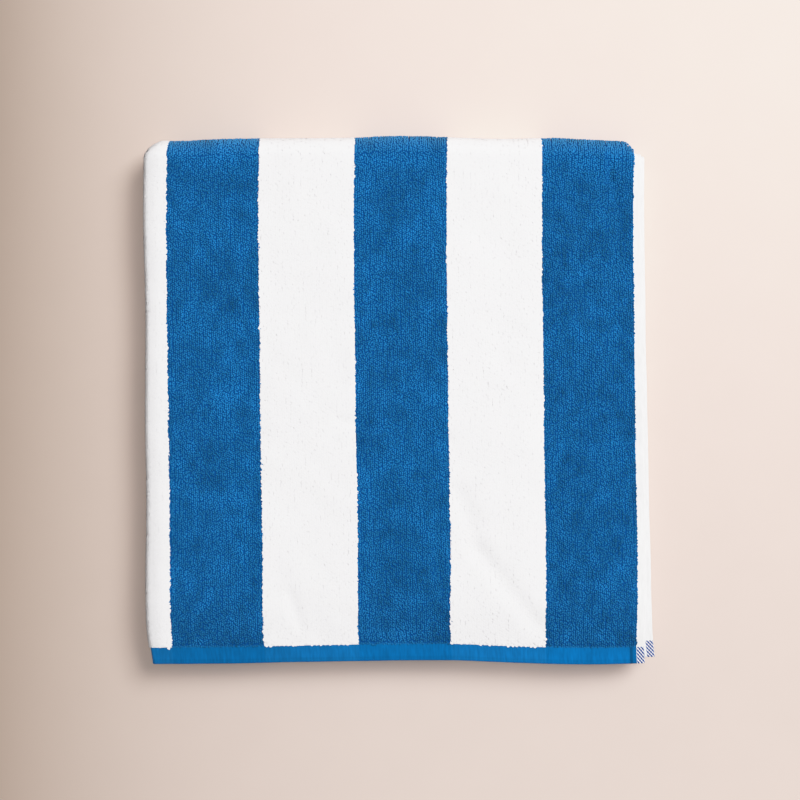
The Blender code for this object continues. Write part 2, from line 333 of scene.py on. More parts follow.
# The dye's unevenness: size across, size along, detail
DYE_STREAKS = (0.0019, 0.011, 1.0)
SMALL_PATCHES = (0.010, 0.015, 2.0)
LARGE_PATCHES = (0.035, 0.050, 2.0)
CLOTH_DYE = {"streaks": 0.05, "patches": 0.02}
HEM_DYE = {"streaks": 0.09, "patches": 0.06}

# The cotton's fibres, and how deep and how strong the bump of the loops and of the cloth is
FIBRE_DETAIL = 3.0
LOOP_FIBRES = 0.0004
LOOP_BUMP = (0.0001, 0.5)
CLOTH_FIBRES = 0.0005
CLOTH_BUMP = (0.0008, 0.6)
# Heights in the cloth's bump
FIBRE_HEIGHT = 0.03
WEAVE_HEIGHT = 0.12
CORD_HEIGHT = 0.05

# The flat weave, and the cords of the selvedges
THREAD = 0.00045
CORD_PITCH = 0.0013
CORD_SHADE = 0.012
CORD_LEVEL = 0.985

# How the pile's shade changes. Both kinds get painted shade at the side fold, where the cloth turns away
# from the light. The blue one gets painted shade towards the hem and beside it, is darker in the last
# stripe, and gets painted light and then a pale painted sheen where it goes over the back turn
# start, full, amount
SIDE_FOLD_PAINTED_SHADE = (0.018, 0.0, 0.20)  # from the towel's middle
TOWARDS_HEM_PAINTED_SHADE = (0.32, 0.0, 0.07)  # from its end
BESIDE_HEM_PAINTED_SHADE = (0.008, 0.002, 0.12)  # from the hem
LAST_STRIPE = (0.74, 0.94, 0.06)  # as a share of the width
BACK_TURN_PAINTED_LIGHT = (-0.024, 0.004, 0.198)  # from the back turn
PAINTED_SHEEN_START = (-0.007, 0.016)
PAINTED_SHEEN_END = (0.034, 0.018)
PAINTED_SHEEN_SHARPNESS = 2.0

# The hem. Its level rises from the side fold to the selvedges, it has painted shade along its turned edge,
# and it is darker next to the selvedges, most of all in a narrow band
HEM_LEVEL = 0.90
HEM_RISE = 0.20
# start, full, amount
TURNED_EDGE_PAINTED_SHADE = (0.0034, 0.0046, 0.08)
DARK_BAND_OUTSIDE = (0.0096, 0.0110)
DARK_BAND_INSIDE = (0.0134, 0.0127, 0.34)
NEAR_SELVEDGE_DARKER = (0.0130, 0.0124, 0.15)

# The twilled ends of the selvedges in the hem
TWILL_ACROSS = 0.0028
TWILL_ALONG = 0.0034
TWILL_CROSSING = 0.45
TWILL_BLUE = (-0.55, 0.10)
TWILL_START = (0.0001, 0.0003)
TWILL_END = (0.0069, 0.0066)

# How light prints: straight up to a soft shoulder below white
# light, print level
HIGHLIGHTS = (
    (0.0, 0.0),
    (0.30, 0.30),
    (0.60, 0.60),
    (0.80, 0.765),
    (1.0, 0.890),
    (1.2, 0.945),
    (1.5, 0.972),
    (2.0, 1.0),
)

# The view straight down
PHOTO_SCALE = 0.00086
PHOTO_SIDE = 800
LENS = 70.0
SENSOR = 36.0
TOP_HEIGHT = 0.034
CAMERA_Y = -0.0005

# The floor has painted shade to the left of the towel, where it is dimmer and warmer, and painted light
# makes it a little lighter towards the back
FLOOR_REACH = 6.0
FLOOR_GAP = 0.0003
PALE_PLASTER = (0.772, 0.640, 0.581, 1.0)
PAINTED_SHADE_PLASTER = (0.122, 0.064, 0.004, 1.0)
PAINTED_SHADE_START = -0.345
PAINTED_SHADE_REACH = 0.150
PAINTED_SHADE_MOST = 1.3
PAINTED_SHADE_SHARE = 0.47
PAINTED_BACK_LIGHT = 0.16
PAINTED_BACK_LIGHT_LOSS = 0.208
PAINTED_BACK_LIGHT_SPAN = (-0.30, 0.35)
MOTTLE_SCALE = 22.0
MOTTLE_DETAIL = 3.0
MOTTLE_STRENGTH = 0.008
MOTTLE_LEVEL = 0.965

# name, place, side, watts
SOFTBOXES = (
    ("key_softbox", (2.6, 2.4, 4.2), 2.8, 261.0),
    ("overhead_softbox", (0.0, 0.0, 5.0), 2.0, 76.0),
)
STUDIO_LIGHT = (1.0, 0.99, 0.98, 1.0)
STUDIO_STRENGTH = 0.26


def ease(value):
    """0 up to 0, 1 from 1 on, and a smooth rise between them."""
    value = np.clip(value, 0.0, 1.0)
    return value * value * (3.0 - 2.0 * value)


def through(table, column, value):
    """The smooth curve through a table's points, where the first column is the place along it."""
    places = np.array([row[0] for row in table])
    levels = np.array([row[column] for row in table])
    slopes = np.gradient(levels, places)
    value = np.clip(value, places[0], places[-1])
    index = np.clip(np.searchsorted(places, value) - 1, 0, len(places) - 2)
    width = places[index + 1] - places[index]
    share = (value - places[index]) / width
    rise = ease(share)
    start_swing = share * (1.0 - share) ** 2 * width * slopes[index]
    end_swing = share**2 * (1.0 - share) * width * slopes[index + 1]
    return levels[index] * (1.0 - rise) + levels[index + 1] * rise + start_swing - end_swing


def soft_noise(x, y, size, seed):
    """Smooth noise from -1 to 1 over a plane, whose swells are about this size."""
    lattice = np.random.default_rng(seed).uniform(-1.0, 1.0, (NOISE_LATTICE, NOISE_LATTICE))
    x, y = x / size, y / size
    column, row = np.floor(x).astype(int), np.floor(y).astype(int)
    share_x, share_y = ease(x - column), ease(y - row)

    def level(row):
        left = lattice[row % NOISE_LATTICE, column % NOISE_LATTICE]
        right = lattice[row % NOISE_LATTICE, (column + 1) % NOISE_LATTICE]
        return left * (1.0 - share_x) + right * share_x

    return level(row) * (1.0 - share_y) + level(row + 1) * share_y


# How the towel is folded


def layer_height(layer):
    return SIDE_FOLD_OUTSIDE + layer * DOUBLED_PITCH


def stretches():
    """The middle line of the doubled cloth, as (length, place) for each run and each turn in order.
    place takes distances along the stretch and gives y, z and the outward normal's y and z."""
    found = []
    for index, (layer, start, end) in enumerate(RUNS):
        facing = 1.0 if index % 2 == 0 else -1.0
        found.append((abs(end - start), run_place(start, end, layer_height(layer), facing)))
        if index + 1 < len(RUNS):
            rise = layer_height(RUNS[index + 1][0]) - layer_height(layer)
            middle = layer_height(layer) + rise / 2
            found.append((math.pi * abs(rise) / 2, turn_place(start, end, middle, rise, facing)))
    return found


def run_place(start, end, height, facing):
    heading = math.copysign(1.0, end - start)

    def place(distance):
        still = np.ones_like(distance)
        return start + heading * distance, height * still, 0.0 * still, facing * still

    return place


def turn_place(start, end, middle, rise, facing):
    heading = math.copysign(1.0, end - start)
    radius = abs(rise) / 2
    above = -math.copysign(1.0, rise)

    def place(distance):
        angle = above * (math.pi / 2 - distance / radius)
        out_y, out_z = heading * np.cos(angle), np.sin(angle)
        side = facing * above
        return end + radius * out_y, middle + radius * out_z, side * out_y, side * out_z

    return place


STRETCHES = stretches()
ENDS = np.cumsum([length for length, _ in STRETCHES])
STARTS = ENDS - [length for length, _ in STRETCHES]
FLAT_LENGTH = float(ENDS[-1])

# Which of the stretches are which
TOP_RUN = 0
OUTER_TURN = 1
FRONT_TURN = 3


def middle_line(along):
    """y, z and the outward normal's y and z at each distance along the towel."""
    found = np.zeros((4,) + along.shape)
    stretch = np.minimum(np.searchsorted(ENDS, along, side="right"), len(STRETCHES) - 1)
    for index, (_, place) in enumerate(STRETCHES):
        inside = stretch == index
        values = place(along - STARTS[index])
        for row, value in zip(found, values):
            row[inside] = value[inside]
    return found


def station(along):
    """0 at the top hem, then 1, 2 and 3 at the middles of the turns, and 4 at the hem beneath."""
    turn_middles = (STARTS[1::2] + ENDS[1::2]) / 2
    marks = np.concatenate([[0.0], turn_middles, [FLAT_LENGTH]])
    return np.interp(along, marks, np.arange(len(marks)))


def side_fold(along):
    """The distance across the towel at which it folds along its length."""
    return FLAT_WIDTH / 2 + through(LAY, 2, station(along))


def from_side(across):
    return np.minimum(across, FLAT_WIDTH - across)


def from_end(along):
    return np.minimum(along, FLAT_LENGTH - along)


def pile_share(across, along):
    """1 where the pile stands, and 0 on the flat woven hems and selvedges."""
    side_share = np.clip((from_side(across) - SELVEDGE) / PILE_RISE, 0.0, 1.0)
    end_share = np.clip((from_end(along) - HEM) / PILE_RISE, 0.0, 1.0)
    return np.minimum(side_share, end_share)


def half_thickness(across, along):
    """Half the cloth's thickness, thinner in the woven selvedges and in the hems, with rounded edges."""
    flat = np.where(from_side(across) < SELVEDGE, SELVEDGE_THICKNESS, HEM_THICKNESS)
    full = flat + (PILE_THICKNESS - flat) * pile_share(across, along)
    inward = 1.0 - np.minimum(from_side(across), from_end(along)) / EDGE_ROUNDING
    return full / 2 * np.sqrt(1.0 - np.clip(inward, 0.0, EDGE_BLUNTNESS) ** 2)


def edge_wave(across, along, height):
    """How far the loose hems and selvedges rise and sag, less so just above the floor."""
    sheet = np.where(across < FLAT_WIDTH / 2, 0.0, 1.0)
    side_share = ease(1.0 - from_side(across) / LOOSE_SELVEDGE)
    side_wave = EDGE_WAVE * soft_noise(along, sheet, EDGE_WAVE_SIZE, SIDE_WAVE_SEED) - EDGE_SAG
    end_share = ease(1.0 - from_end(along) / LOOSE_HEM)
    end = np.where(along < FLAT_LENGTH / 2, 0.0, 1.0)
    end_wave = EDGE_WAVE * soft_noise(across, end, EDGE_WAVE_SIZE, END_WAVE_SEED)
    return (side_share * side_wave + end_share * end_wave) * ease(height / LOOSE_ABOVE_FLOOR)


def fold(across, along, offset):
    """The folded towel before it settles. offset is from the cloth's middle, outwards at the side fold."""
    where = station(along)
    from_fold = across - side_fold(along)
    turned = np.clip(from_fold / SIDE_FOLD_RADIUS, -math.pi / 2, math.pi / 2)
    flat_part = np.abs(from_fold) - np.abs(turned) * SIDE_FOLD_RADIUS
    radius = SIDE_FOLD_RADIUS + offset
    x = LEFT_SIDE + through(LAY, 1, where) + SIDE_FOLD_OUTSIDE - radius * np.cos(turned) + flat_part
    out = radius * np.sin(turned)
    first_run = ENDS[0]
    slant = np.clip(1.0 - along / first_run, 0.0, 1.0) - np.clip((along - STARTS[-1]) / first_run, 0.0, 1.0)
    under_share = np.clip(-from_fold / side_fold(along), 0.0, 1.0)
    x = x + through(LAY, 3, where) * under_share
    y, z, normal_y, normal_z = middle_line(along + UNDER_SHEET_SLANT * slant * under_share)
    sheet_height = z + SIDE_FOLD_RADIUS * np.sin(turned) * normal_z
    return x, y + out * normal_y, z + out * normal_z + edge_wave(across, along, sheet_height)


def plan_outline(x, y):
    """Rounds the back corners and moves the ends and sides to the folded towel's outline from above."""
    past_bend = np.clip(y - BACK_BEND_Y, 0.0, BACK_BEND_OUTSIDE)
    from_left = np.clip((x - LEFT_SIDE) / LEFT_CORNER_REACH, 0.0, 1.0)
    left_share = 1.0 - LEFT_CORNER_DEPTH * (1.0 - from_left) ** 2
    into_right = ease((x - RIGHT_CORNER_START) / RIGHT_CORNER_REACH)
    right_share = 1.0 - RIGHT_CORNER_DEPTH * into_right
    tuck = 1.0 - np.sqrt(np.clip(1.0 - (past_bend / BACK_BEND_OUTSIDE) ** 2, 0.0, 1.0))
    tuck_share = 1.0 - ease((x - LEFT_SIDE) / LEFT_CORNER_TUCK_REACH)
    hem_pull = HEM_PULL * ease((TOP_HEM_END + HEM_PULL_REACH - y) / HEM_PULL_REACH)
    skew = SKEW * ease((SKEW_START - y) / (SKEW_START - SKEW_END))
    to_back = ease(y / BACK_END)
    to_front = ease(y / TOP_HEM_END)
    new_y = y - past_bend * (1.0 - left_share * right_share)
    new_y = new_y + to_back * through(BACK_OUTLINE, 1, x) + to_front * through(FRONT_OUTLINE, 1, x)
    new_x = x * (1.0 - hem_pull) + skew + LEFT_CORNER_TUCK * tuck * tuck_share
    return new_x, new_y


def creased(x, y):
    """How far the top lies above or below a smooth one, from its creases and its slow unevenness."""
    height = 0.0
    for size, swell, seed in UNEVENNESS:
        height = height + size * soft_noise(x, y, swell, seed)
    for start_x, start_y, end_x, end_y, half_width, depth in CREASES:
        run_x, run_y = end_x - start_x, end_y - start_y
        share = ((x - start_x) * run_x + (y - start_y) * run_y) / (run_x**2 + run_y**2)
        share = np.clip(share, 0.0, 1.0)
        away = np.hypot(x - start_x - share * run_x, y - start_y - share * run_y)
        height = height - depth * np.exp(-((away / half_width) ** 2))
    return height


def settled_height(x, y, z):
    """Lowers the stack over its hems and selvedges, and swells and creases it over a flat underside."""
    upper_share = np.clip((z - STACK_MIDDLE) / BACK_BEND_OUTSIDE, 0.0, 1.0)
    droop = HEM_DROOP * ease((TOP_HEM_END + HEM_DROOP_REACH - y) / HEM_DROOP_REACH)
    thin_side = SELVEDGE_DROOP * ease((x - SELVEDGE_DROOP_START) / SELVEDGE_DROOP_REACH)
    swell = 0.0
    for share, waves_x, waves_y, phase in SWELLS:
        swell = swell + share * np.sin(2 * math.pi * (waves_x * x + waves_y * y) + phase)
    return (z - droop * upper_share) * (1.0 - thin_side + swell) + creased(x, y) * upper_share


def place_cloth(across, along, offset):
    x, y, z = fold(across, along, offset)
    new_z = settled_height(x, y, z)
    new_x, new_y = plan_outline(x, y)
    return np.stack([new_x, new_y, new_z], axis=-1)


def frame_shift():
    """What centres the folded towel over the frame's own middle."""
    along = np.linspace(0.0, FLAT_LENGTH, MEASURED_ROWS)
    across = np.linspace(0.0, FLAT_WIDTH, MEASURED_COLUMNS)
    along, across = np.meshgrid(along, across)
    half = half_thickness(across, along)
    points = np.concatenate([place_cloth(across, along, face * half).reshape(-1, 3) for face in (1, -1)])
    middle = (points.min(axis=0) + points.max(axis=0)) / 2
    low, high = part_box("towel")
    return np.array([(low.x + high.x) / 2 - middle[0], (low.y + high.y) / 2 - middle[1], 0.0])


SHIFT = frame_shift()


def cloth_point(across, along, offset):
    return place_cloth(across, along, offset) + SHIFT


def unit(vectors):
    return vectors / np.maximum(np.linalg.norm(vectors, axis=-1, keepdims=True), 1e-12)


def cloth_directions(across, along, offset, step=0.0002):
    """The cloth's unit directions across, along and outwards at each place on it."""
    sideways = cloth_point(across + step, along, offset) - cloth_point(across - step, along, offset)
    lengthwise = cloth_point(across, along + step, offset) - cloth_point(across, along - step, offset)
    sideways, lengthwise = unit(sideways), unit(lengthwise)
    return sideways, lengthwise, unit(np.cross(sideways, lengthwise))


# Where pile stands


def in_stretch(along, index):
    return (along >= STARTS[index]) & (along < ENDS[index])


def over_sheet_shows(along):
    """Where the sheet with the second half of the stripes has its outer face on the outside of the towel."""
    return in_stretch(along, TOP_RUN) | in_stretch(along, OUTER_TURN) | in_stretch(along, FRONT_TURN)


def pile_stands(across, along, face):
    """1 where loops stand on the outer (1) or inner (-1) face, and 0 where that face is bare."""
    beside_selvedge = ease((SELVEDGE + PILE_RISE / 2 + TUFT_REACH - from_side(across)) / PILE_RISE + 1.0)
    if face < 0:
        return beside_selvedge * pile_share(across, along)
    from_fold = across - side_fold(along)
    shows = over_sheet_shows(along)
    strip = np.where(in_stretch(along, TOP_RUN), TOP_FOLD_PILE, HIDDEN_FOLD_PILE)
    beside_fold = ease((strip - np.abs(from_fold)) / PILE_RISE + 1.0)
    stands = np.maximum(np.maximum(beside_selvedge, beside_fold), shows & (from_fold > 0.0))
    return stands * pile_share(across, along)


def in_blue_stripe(across):
    """Whether each place across the towel lies in one of its blue stripes."""
    starts = SELVEDGE + np.cumsum((0.0,) + SIDE_STRIPES[::-1])
    stripe = np.searchsorted(starts, from_side(across), side="right")
    return stripe % 2 == 1


# Meshes


def mesh_object(name, points, faces, numbers, layout, normals=None):
    """A smooth mesh from arrays of points and of four-cornered faces, with its numbers at each point and its
    layout, a place on a map for each corner."""
    mesh = bpy.data.meshes.new(name)
    mesh.vertices.add(len(points))
    mesh.vertices.foreach_set("co", np.asarray(points, np.float32).ravel())
    mesh.loops.add(faces.size)
    mesh.loops.foreach_set("vertex_index", faces.astype(np.int32).ravel())
    mesh.polygons.add(len(faces))
    mesh.polygons.foreach_set("loop_start", np.arange(0, faces.size, 4, dtype=np.int32))
    mesh.update(calc_edges=True)
    mesh.polygons.foreach_set("use_smooth", np.ones(len(faces), bool))
    for label, values in numbers:
        attribute = mesh.attributes.new(label, "FLOAT", "POINT")
        attribute.data.foreach_set("value", np.asarray(values, np.float32).ravel())
    places = mesh.uv_layers.new(name="OFBake")
    places.uv.foreach_set("vector", np.asarray(layout, np.float32).ravel())
    if normals is not None:
        mesh.normals_split_custom_set_from_vertices(normals.tolist())
    made = bpy.data.objects.new(name, mesh)
    bpy.context.scene.collection.objects.link(made)
    return made


# The sheet


def spaced(start, end, step):
    return np.linspace(start, end, max(2, round((end - start) / step) + 1))


def row_places():
    """Distances along the towel where its rows of faces end, close together where they show."""
    edge = np.array(EDGE_STEPS)
    hem = np.concatenate([edge[:-1], spaced(edge[-1], HEM, HEM_ROWS), [HEM + PILE_RISE]])
    places = [hem]
    for index, (start, end) in enumerate(zip(STARTS, ENDS)):
        if index % 2:
            places.append(np.linspace(start, end, FOLD_STEPS + 1))
        else:
            step = FINE_ROWS if index == TOP_RUN else HIDDEN_ROWS
            first = hem[-1] + step if index == TOP_RUN else start + step
            last = end - hem[-1] if index == len(STARTS) - 1 else end
            places.append(spaced(first, last, step)[:-1])
    places.append(FLAT_LENGTH - hem[::-1])
    return np.concatenate(places)


def column_places(along):
    """Distances across the towel where its columns end. Those beside the side fold follow it."""
    edge = np.array(EDGE_STEPS)
    woven = spaced(edge[-1], SELVEDGE, SELVEDGE_COLUMNS)
    rise_end = SELVEDGE + PILE_RISE
    tufts_end = rise_end + TUFT_REACH
    side = np.concatenate([edge[:-1], woven, [rise_end, tufts_end, tufts_end + PILE_RISE]])
    arc = np.linspace(-HALF_ARC, HALF_ARC, FOLD_STEPS + 1)
    beside = HALF_ARC + np.array(BESIDE_FOLD)
    fold_columns = np.concatenate([-beside[::-1], arc, beside])
    under = spaced(side[-1], FLAT_WIDTH / 2 - UNDER_START, HIDDEN_COLUMNS)[1:]
    over = spaced(FLAT_WIDTH / 2 + OVER_START, FLAT_WIDTH - side[-1], FINE_COLUMNS)[:-1]
    rows = len(along)
    whole = [np.tile(side, (rows, 1)), np.tile(under, (rows, 1)), side_fold(along)[:, None] + fold_columns]
    whole += [np.tile(over, (rows, 1)), np.tile(FLAT_WIDTH - side[::-1], (rows, 1))]
    return np.concatenate(whole, axis=1)


def sheet_faces(rows, columns):
    """The faces of the outer grid of points, of the inner one, which follows it, and those round the edge:
    outer, inner, front end, back end, left side and right side."""
    corner = (np.arange(rows - 1)[:, None] * columns + np.arange(columns - 1)).ravel()
    outer = np.stack([corner, corner + 1, corner + columns + 1, corner + columns], axis=1)
    inner = rows * columns
    first, last = np.arange(columns - 1), (rows - 1) * columns + np.arange(columns - 1)
    front = np.stack([first, inner + first, inner + first + 1, first + 1], axis=1)
    end = np.stack([last, last + 1, inner + last + 1, inner + last], axis=1)
    near = np.arange(rows - 1) * columns
    far = near + columns
    left = np.stack([near, far, inner + far, inner + near], axis=1)
    near, far = near + columns - 1, far + columns - 1
    right = np.stack([far, near, inner + near, inner + far], axis=1)
    return outer, outer[:, ::-1] + inner, front, end, left, right


def with_room(place, size, edge, room):
    """The place as a share of the cloth's size, where its edges take up more than their own share."""
    return np.interp(place, (0.0, edge, size - edge, size), (0.0, room, 1.0 - room, 1.0)).ravel()


def sheet_layout(across, along, parts):
    """Where each corner of the sheet's faces lies on its map: the outer face on the left half, the inner one
    on the right half, and the rims in narrow strips beside them."""
    wide = FACE_WIDTH * with_room(across, FLAT_WIDTH, *SELVEDGE_ROOM)
    long = MAP_MARGIN + (1.0 - 2 * MAP_MARGIN) * with_room(along, FLAT_LENGTH, *HEM_ROOM)
    count = len(wide)
    outer, inner, front, end, left, right = parts

    def from_inner(faces, start, width):
        return start + np.where(faces >= count, 0.0, width)

    found = []
    for faces, start in ((outer, OUTER_START), (inner, INNER_START)):
        found.append((start + wide[faces % count], long[faces % count]))
    for faces, rim in ((front, FRONT_RIM), (end, END_RIM)):
        found.append((OUTER_START + wide[faces % count], from_inner(faces, *rim)))
    for faces, rim in ((left, LEFT_RIM), (right, RIGHT_RIM)):
        found.append((from_inner(faces, *rim), long[faces % count]))
    return np.concatenate([np.stack(places, axis=-1).reshape(-1, 2) for places in found])


def make_cloth():
    """The towel's one sheet of cloth, with its hems and selvedges."""
    along = row_places()
    across = column_places(along)
    along = np.repeat(along[:, None], across.shape[1], axis=1)
    half = half_thickness(across, along)
    outer_stands = pile_stands(across, along, 1)
    inner_stands = pile_stands(across, along, -1)
    depth = np.where(in_blue_stripe(across), BLUE_GROUND_DEPTH, WHITE_GROUND_DEPTH)
    outer = cloth_point(across, along, half - depth * outer_stands)
    inner = cloth_point(across, along, depth * inner_stands - half)
    parts = sheet_faces(*across.shape)
    numbers = [
        ("across", np.concatenate([across.ravel(), across.ravel()])),
        ("along", np.concatenate([along.ravel(), along.ravel()])),
        ("under_pile", np.concatenate([outer_stands.ravel(), inner_stands.ravel()])),
    ]
    points = np.concatenate([outer.reshape(-1, 3), inner.reshape(-1, 3)])
    layout = sheet_layout(across, along, parts)
    return mesh_object("towel_cloth", points, np.concatenate(parts), numbers, layout)


# The pile


def loop_stands(width, length, across_pitch, along_pitch, rng, wander=0.0, edge_looseness=ROW_LOOSENESS):
    """Places of loops on the outer face, in rows along the warp, each half a loop on from its neighbour."""
    count = max(1, round((width[1] - width[0]) / across_pitch))
    columns = width[0] + (width[1] - width[0]) * (np.arange(count) + 0.5) / count
    rows = np.arange(length[0] + along_pitch / 2, length[1], along_pitch)
    across, along = np.meshgrid(columns, rows)
    along = along + along_pitch / 2 * (np.arange(count) % 2)
    along = along + rng.normal(0.0, ALONG_LOOSENESS * along_pitch, along.shape)
    along[0] = along[0] - np.abs(rng.normal(0.0, HEM_RAGGEDNESS * edge_looseness * along_pitch, count))
    along = np.clip(along, length[0] - HEM_OVERHANG, length[1])
    looseness = np.full(count, ROW_LOOSENESS)
    looseness[[0, -1]] = edge_looseness
    across = across + rng.normal(0.0, across_pitch, across.shape) * looseness
    if wander:
        row_place = across + np.arange(count) * ROW_STEP
        across = across + ROW_WANDER * soft_noise(along, row_place, ROW_WANDER_SIZE, ROW_SEED)
        share = (across - width[0]) / (width[1] - width[0])
        start_wander, end_wander = (
            soft_noise(along, np.full_like(along, edge), STRIPE_WANDER_SIZE, STRIPE_SEED) for edge in width
        )
        across = across + wander * (start_wander * (1.0 - share) + end_wander * share)
    return across.ravel(), along.ravel(), np.ones(across.size)


def loop_layout(count, rings, sides):
    """Where each corner of the loops' faces lies on their map: each loop has a cell of its own."""
    cells = math.ceil(math.sqrt(count))
    ring, side = (place.reshape(-1, 1) for place in np.mgrid[:rings, :sides])
    wide = CELL_MARGIN + (1.0 - 2 * CELL_MARGIN) * (ring + (0, 1, 1, 0)) / rings
    long = CELL_MARGIN + (1.0 - 2 * CELL_MARGIN) * (side + (0, 0, 1, 1)) / sides
    index = np.arange(count)[:, None, None]
    layout = np.stack([(index % cells + wide) / cells, (index // cells + long) / cells], axis=-1)
    return layout.reshape(-1, 2)


def pile_loops(name, across, along, face, loop, rng):
    """Joined pile loops that stand at these places on the outer (1) or inner (-1) face."""
    count = len(across)
    root = face * (half_thickness(across, along) - loop.sunk * pile_share(across, along))
    base = cloth_point(across, along, root)
    side, ahead, up = cloth_directions(across, along, root)
    side, up = side * face[:, None], up * face[:, None]
    base = base + BEND_PUFF * ease(1.0 - np.abs(up[:, 2:])) * up
    ruffle = soft_noise(across, along, RUFFLE_TURN_SIZE, TURN_SEED)
    twist = rng.normal(0.0, LOOSE_TWIST, count) + RUFFLE_TURN * ruffle
    ahead_turned = ahead * np.cos(twist)[:, None] + side * np.sin(twist)[:, None]
    side_turned = side * np.cos(twist)[:, None] - ahead * np.sin(twist)[:, None]
    swell = 1.0 + RUFFLE_RISE * soft_noise(across, along, RUFFLE_RISE_SIZE, RISE_SEED)
    height = loop.height * swell * rng.uniform(*LOOP_HEIGHTS, count)
    reach = loop.reach * rng.uniform(*LOOP_REACHES, count)
    lean = rng.normal(0.0, LOOP_LEAN, count)[:, None] * side
    lean = lean + rng.normal(LOOP_NAP, LOOP_LEAN, count)[:, None] * ahead
    rings, corners = len(LOOP_ANGLES), len(RING_CORNERS)
    points = np.zeros((count, rings, corners, 3))
    normals = np.zeros((count, rings, corners, 3))
    rise = np.zeros((count, rings, corners))
    for ring, angle in enumerate(LOOP_ANGLES):
        outward = math.cos(angle) * -ahead_turned + math.sin(angle) * up
        middle = base - math.cos(angle) * reach[:, None] * ahead_turned
        middle = middle + math.sin(angle) * (height[:, None] * up + lean)
        for corner, (aside, out) in enumerate(RING_CORNERS):
            offset = out * loop.thickness * outward + aside * loop.width * side_turned
            points[:, ring, corner] = middle + offset
            own = unit(CORNER_TILT[0] * aside * side_turned + (CORNER_TILT[1] + out) * outward)
            normals[:, ring, corner] = unit(loop.softness * up + (1.0 - loop.softness) * own)
            # Painted light: a corner's share of the yarn's colour over the painted shade, most on the crest
            rise[:, ring, corner] = math.sin(angle) * (FLANK_PAINTED_LIGHT + OUTWARD_PAINTED_LIGHT * out)
    points[..., 2] = np.maximum(points[..., 2], LOWEST_LOOP)
    ring, corner = np.meshgrid(np.arange(rings - 1), np.arange(corners - 1), indexing="ij")
    first = (ring * corners + corner).ravel()
    one = np.stack([first, first + corners, first + corners + 1, first + 1], axis=1)
    per_loop = rings * corners
    faces = (np.arange(count)[:, None, None] * per_loop + one).reshape(-1, 4)
    numbers = [
        ("across", np.repeat(across, per_loop)),
        ("along", np.repeat(along, per_loop)),
        ("tone", np.repeat(rng.uniform(0.0, 1.0, count), per_loop)),
        ("rise", rise.ravel()),
    ]
    layout = loop_layout(count, rings - 1, corners - 1)
    return mesh_object(name, points.reshape(-1, 3), faces, numbers, layout, normals.reshape(-1, 3))


def stripe_stands(width, loop, looseness, rng):
    """Places of a stripe's loops on the top run and round the turns that show."""
    outer_crowding = (BACK_BEND_OUTSIDE - SIDE_FOLD_OUTSIDE) / BACK_BEND_OUTSIDE
    front_crowding = (DOUBLED_PITCH / 2) / (DOUBLED_PITCH / 2 + SIDE_FOLD_OUTSIDE)
    spans = (
        (HEM + FIRST_LOOPS, ENDS[TOP_RUN], 1.0),
        (STARTS[OUTER_TURN], ENDS[OUTER_TURN], outer_crowding),
        (STARTS[FRONT_TURN], ENDS[FRONT_TURN], front_crowding),
    )
    return [
        loop_stands(width, (start, end), loop.across, loop.along * crowding, rng, STRIPE_WANDER, looseness)
        for start, end, crowding in spans
    ]


def side_fold_stands(rng):
    """Places of the loops on the side fold of every layer, and on the rest of the centre stripe on top."""
    loop = WHITE_LOOP
    rest = (FLAT_WIDTH / 2 + TOP_FOLD_PILE, FLAT_WIDTH / 2 + CENTRE_STRIPE / 2)
    stands = stripe_stands(rest, loop, loop.looseness, rng)
    for index, (start, end) in enumerate(zip(STARTS, ENDS)):
        start, end = max(start, HEM + FIRST_LOOPS), min(end, FLAT_LENGTH - HEM - FIRST_LOOPS)
        low = -HIDDEN_FOLD_PILE
        high = TOP_FOLD_PILE if index in (TOP_RUN, OUTER_TURN, FRONT_TURN) else HIDDEN_FOLD_PILE
        pitch = loop.across * FOLD_CROWDING
        across, along, face = loop_stands((low, high), (start, end), pitch, loop.along, rng)
        stands.append((across + side_fold(along), along, face))
    return stands


def tuft_stands(rng):
    """Places of the loops beside the selvedges of the hidden layers, and the face each stands on."""
    found = []
    first = SELVEDGE + PILE_RISE / 2
    length = (HEM + TUFT_START, FLAT_LENGTH - HEM - TUFT_START)
    for over_sheet, face in ((True, 1), (True, -1), (False, 1), (False, -1)):
        width = (first + UNDER_MARGIN, first + UNDER_MARGIN + TUFT_REACH)
        if over_sheet:
            width = (FLAT_WIDTH - first - TUFT_REACH, FLAT_WIDTH - first)
        across, along, faces = loop_stands(width, length, WHITE_LOOP.across, WHITE_LOOP.along, rng)
        kept = ~over_sheet_shows(along) if over_sheet and face > 0 else faces > 0
        found.append((across[kept], along[kept], face * faces[kept]))
    return found


def make_pile():
    """The pile of each stripe that shows, as (object, whether it is blue)."""
    found = []
    rng = np.random.default_rng(LOOSE_SEED)
    place = FLAT_WIDTH / 2 + CENTRE_STRIPE / 2
    names = ("first_blue", "first_white", "middle_blue", "second_white", "last_blue")

    def add(name, stands, loop, blue):
        across, along, face = (np.concatenate(values) for values in zip(*stands))
        found.append((pile_loops("pile_" + name, across, along, face, loop, rng), blue))

    for index, (name, width) in enumerate(zip(names, SIDE_STRIPES)):
        blue = index % 2 == 0
        loop = BLUE_LOOP if blue else WHITE_LOOP
        start, end, looseness = place - loop.outset, place + width + loop.outset, loop.looseness
        if index == 0:
            start = place
        if index == len(names) - 1:
            end, looseness = place + width + SELVEDGE_OVERHANG, SELVEDGE_LOOSENESS
        add(name, stripe_stands((start, end), loop, looseness, rng), loop, blue)
        place += width
    add("side_fold", side_fold_stands(rng), WHITE_LOOP, False)
    add("beside_selvedges", tuft_stands(rng), BLUE_LOOP, True)
    return found


# Shared effects


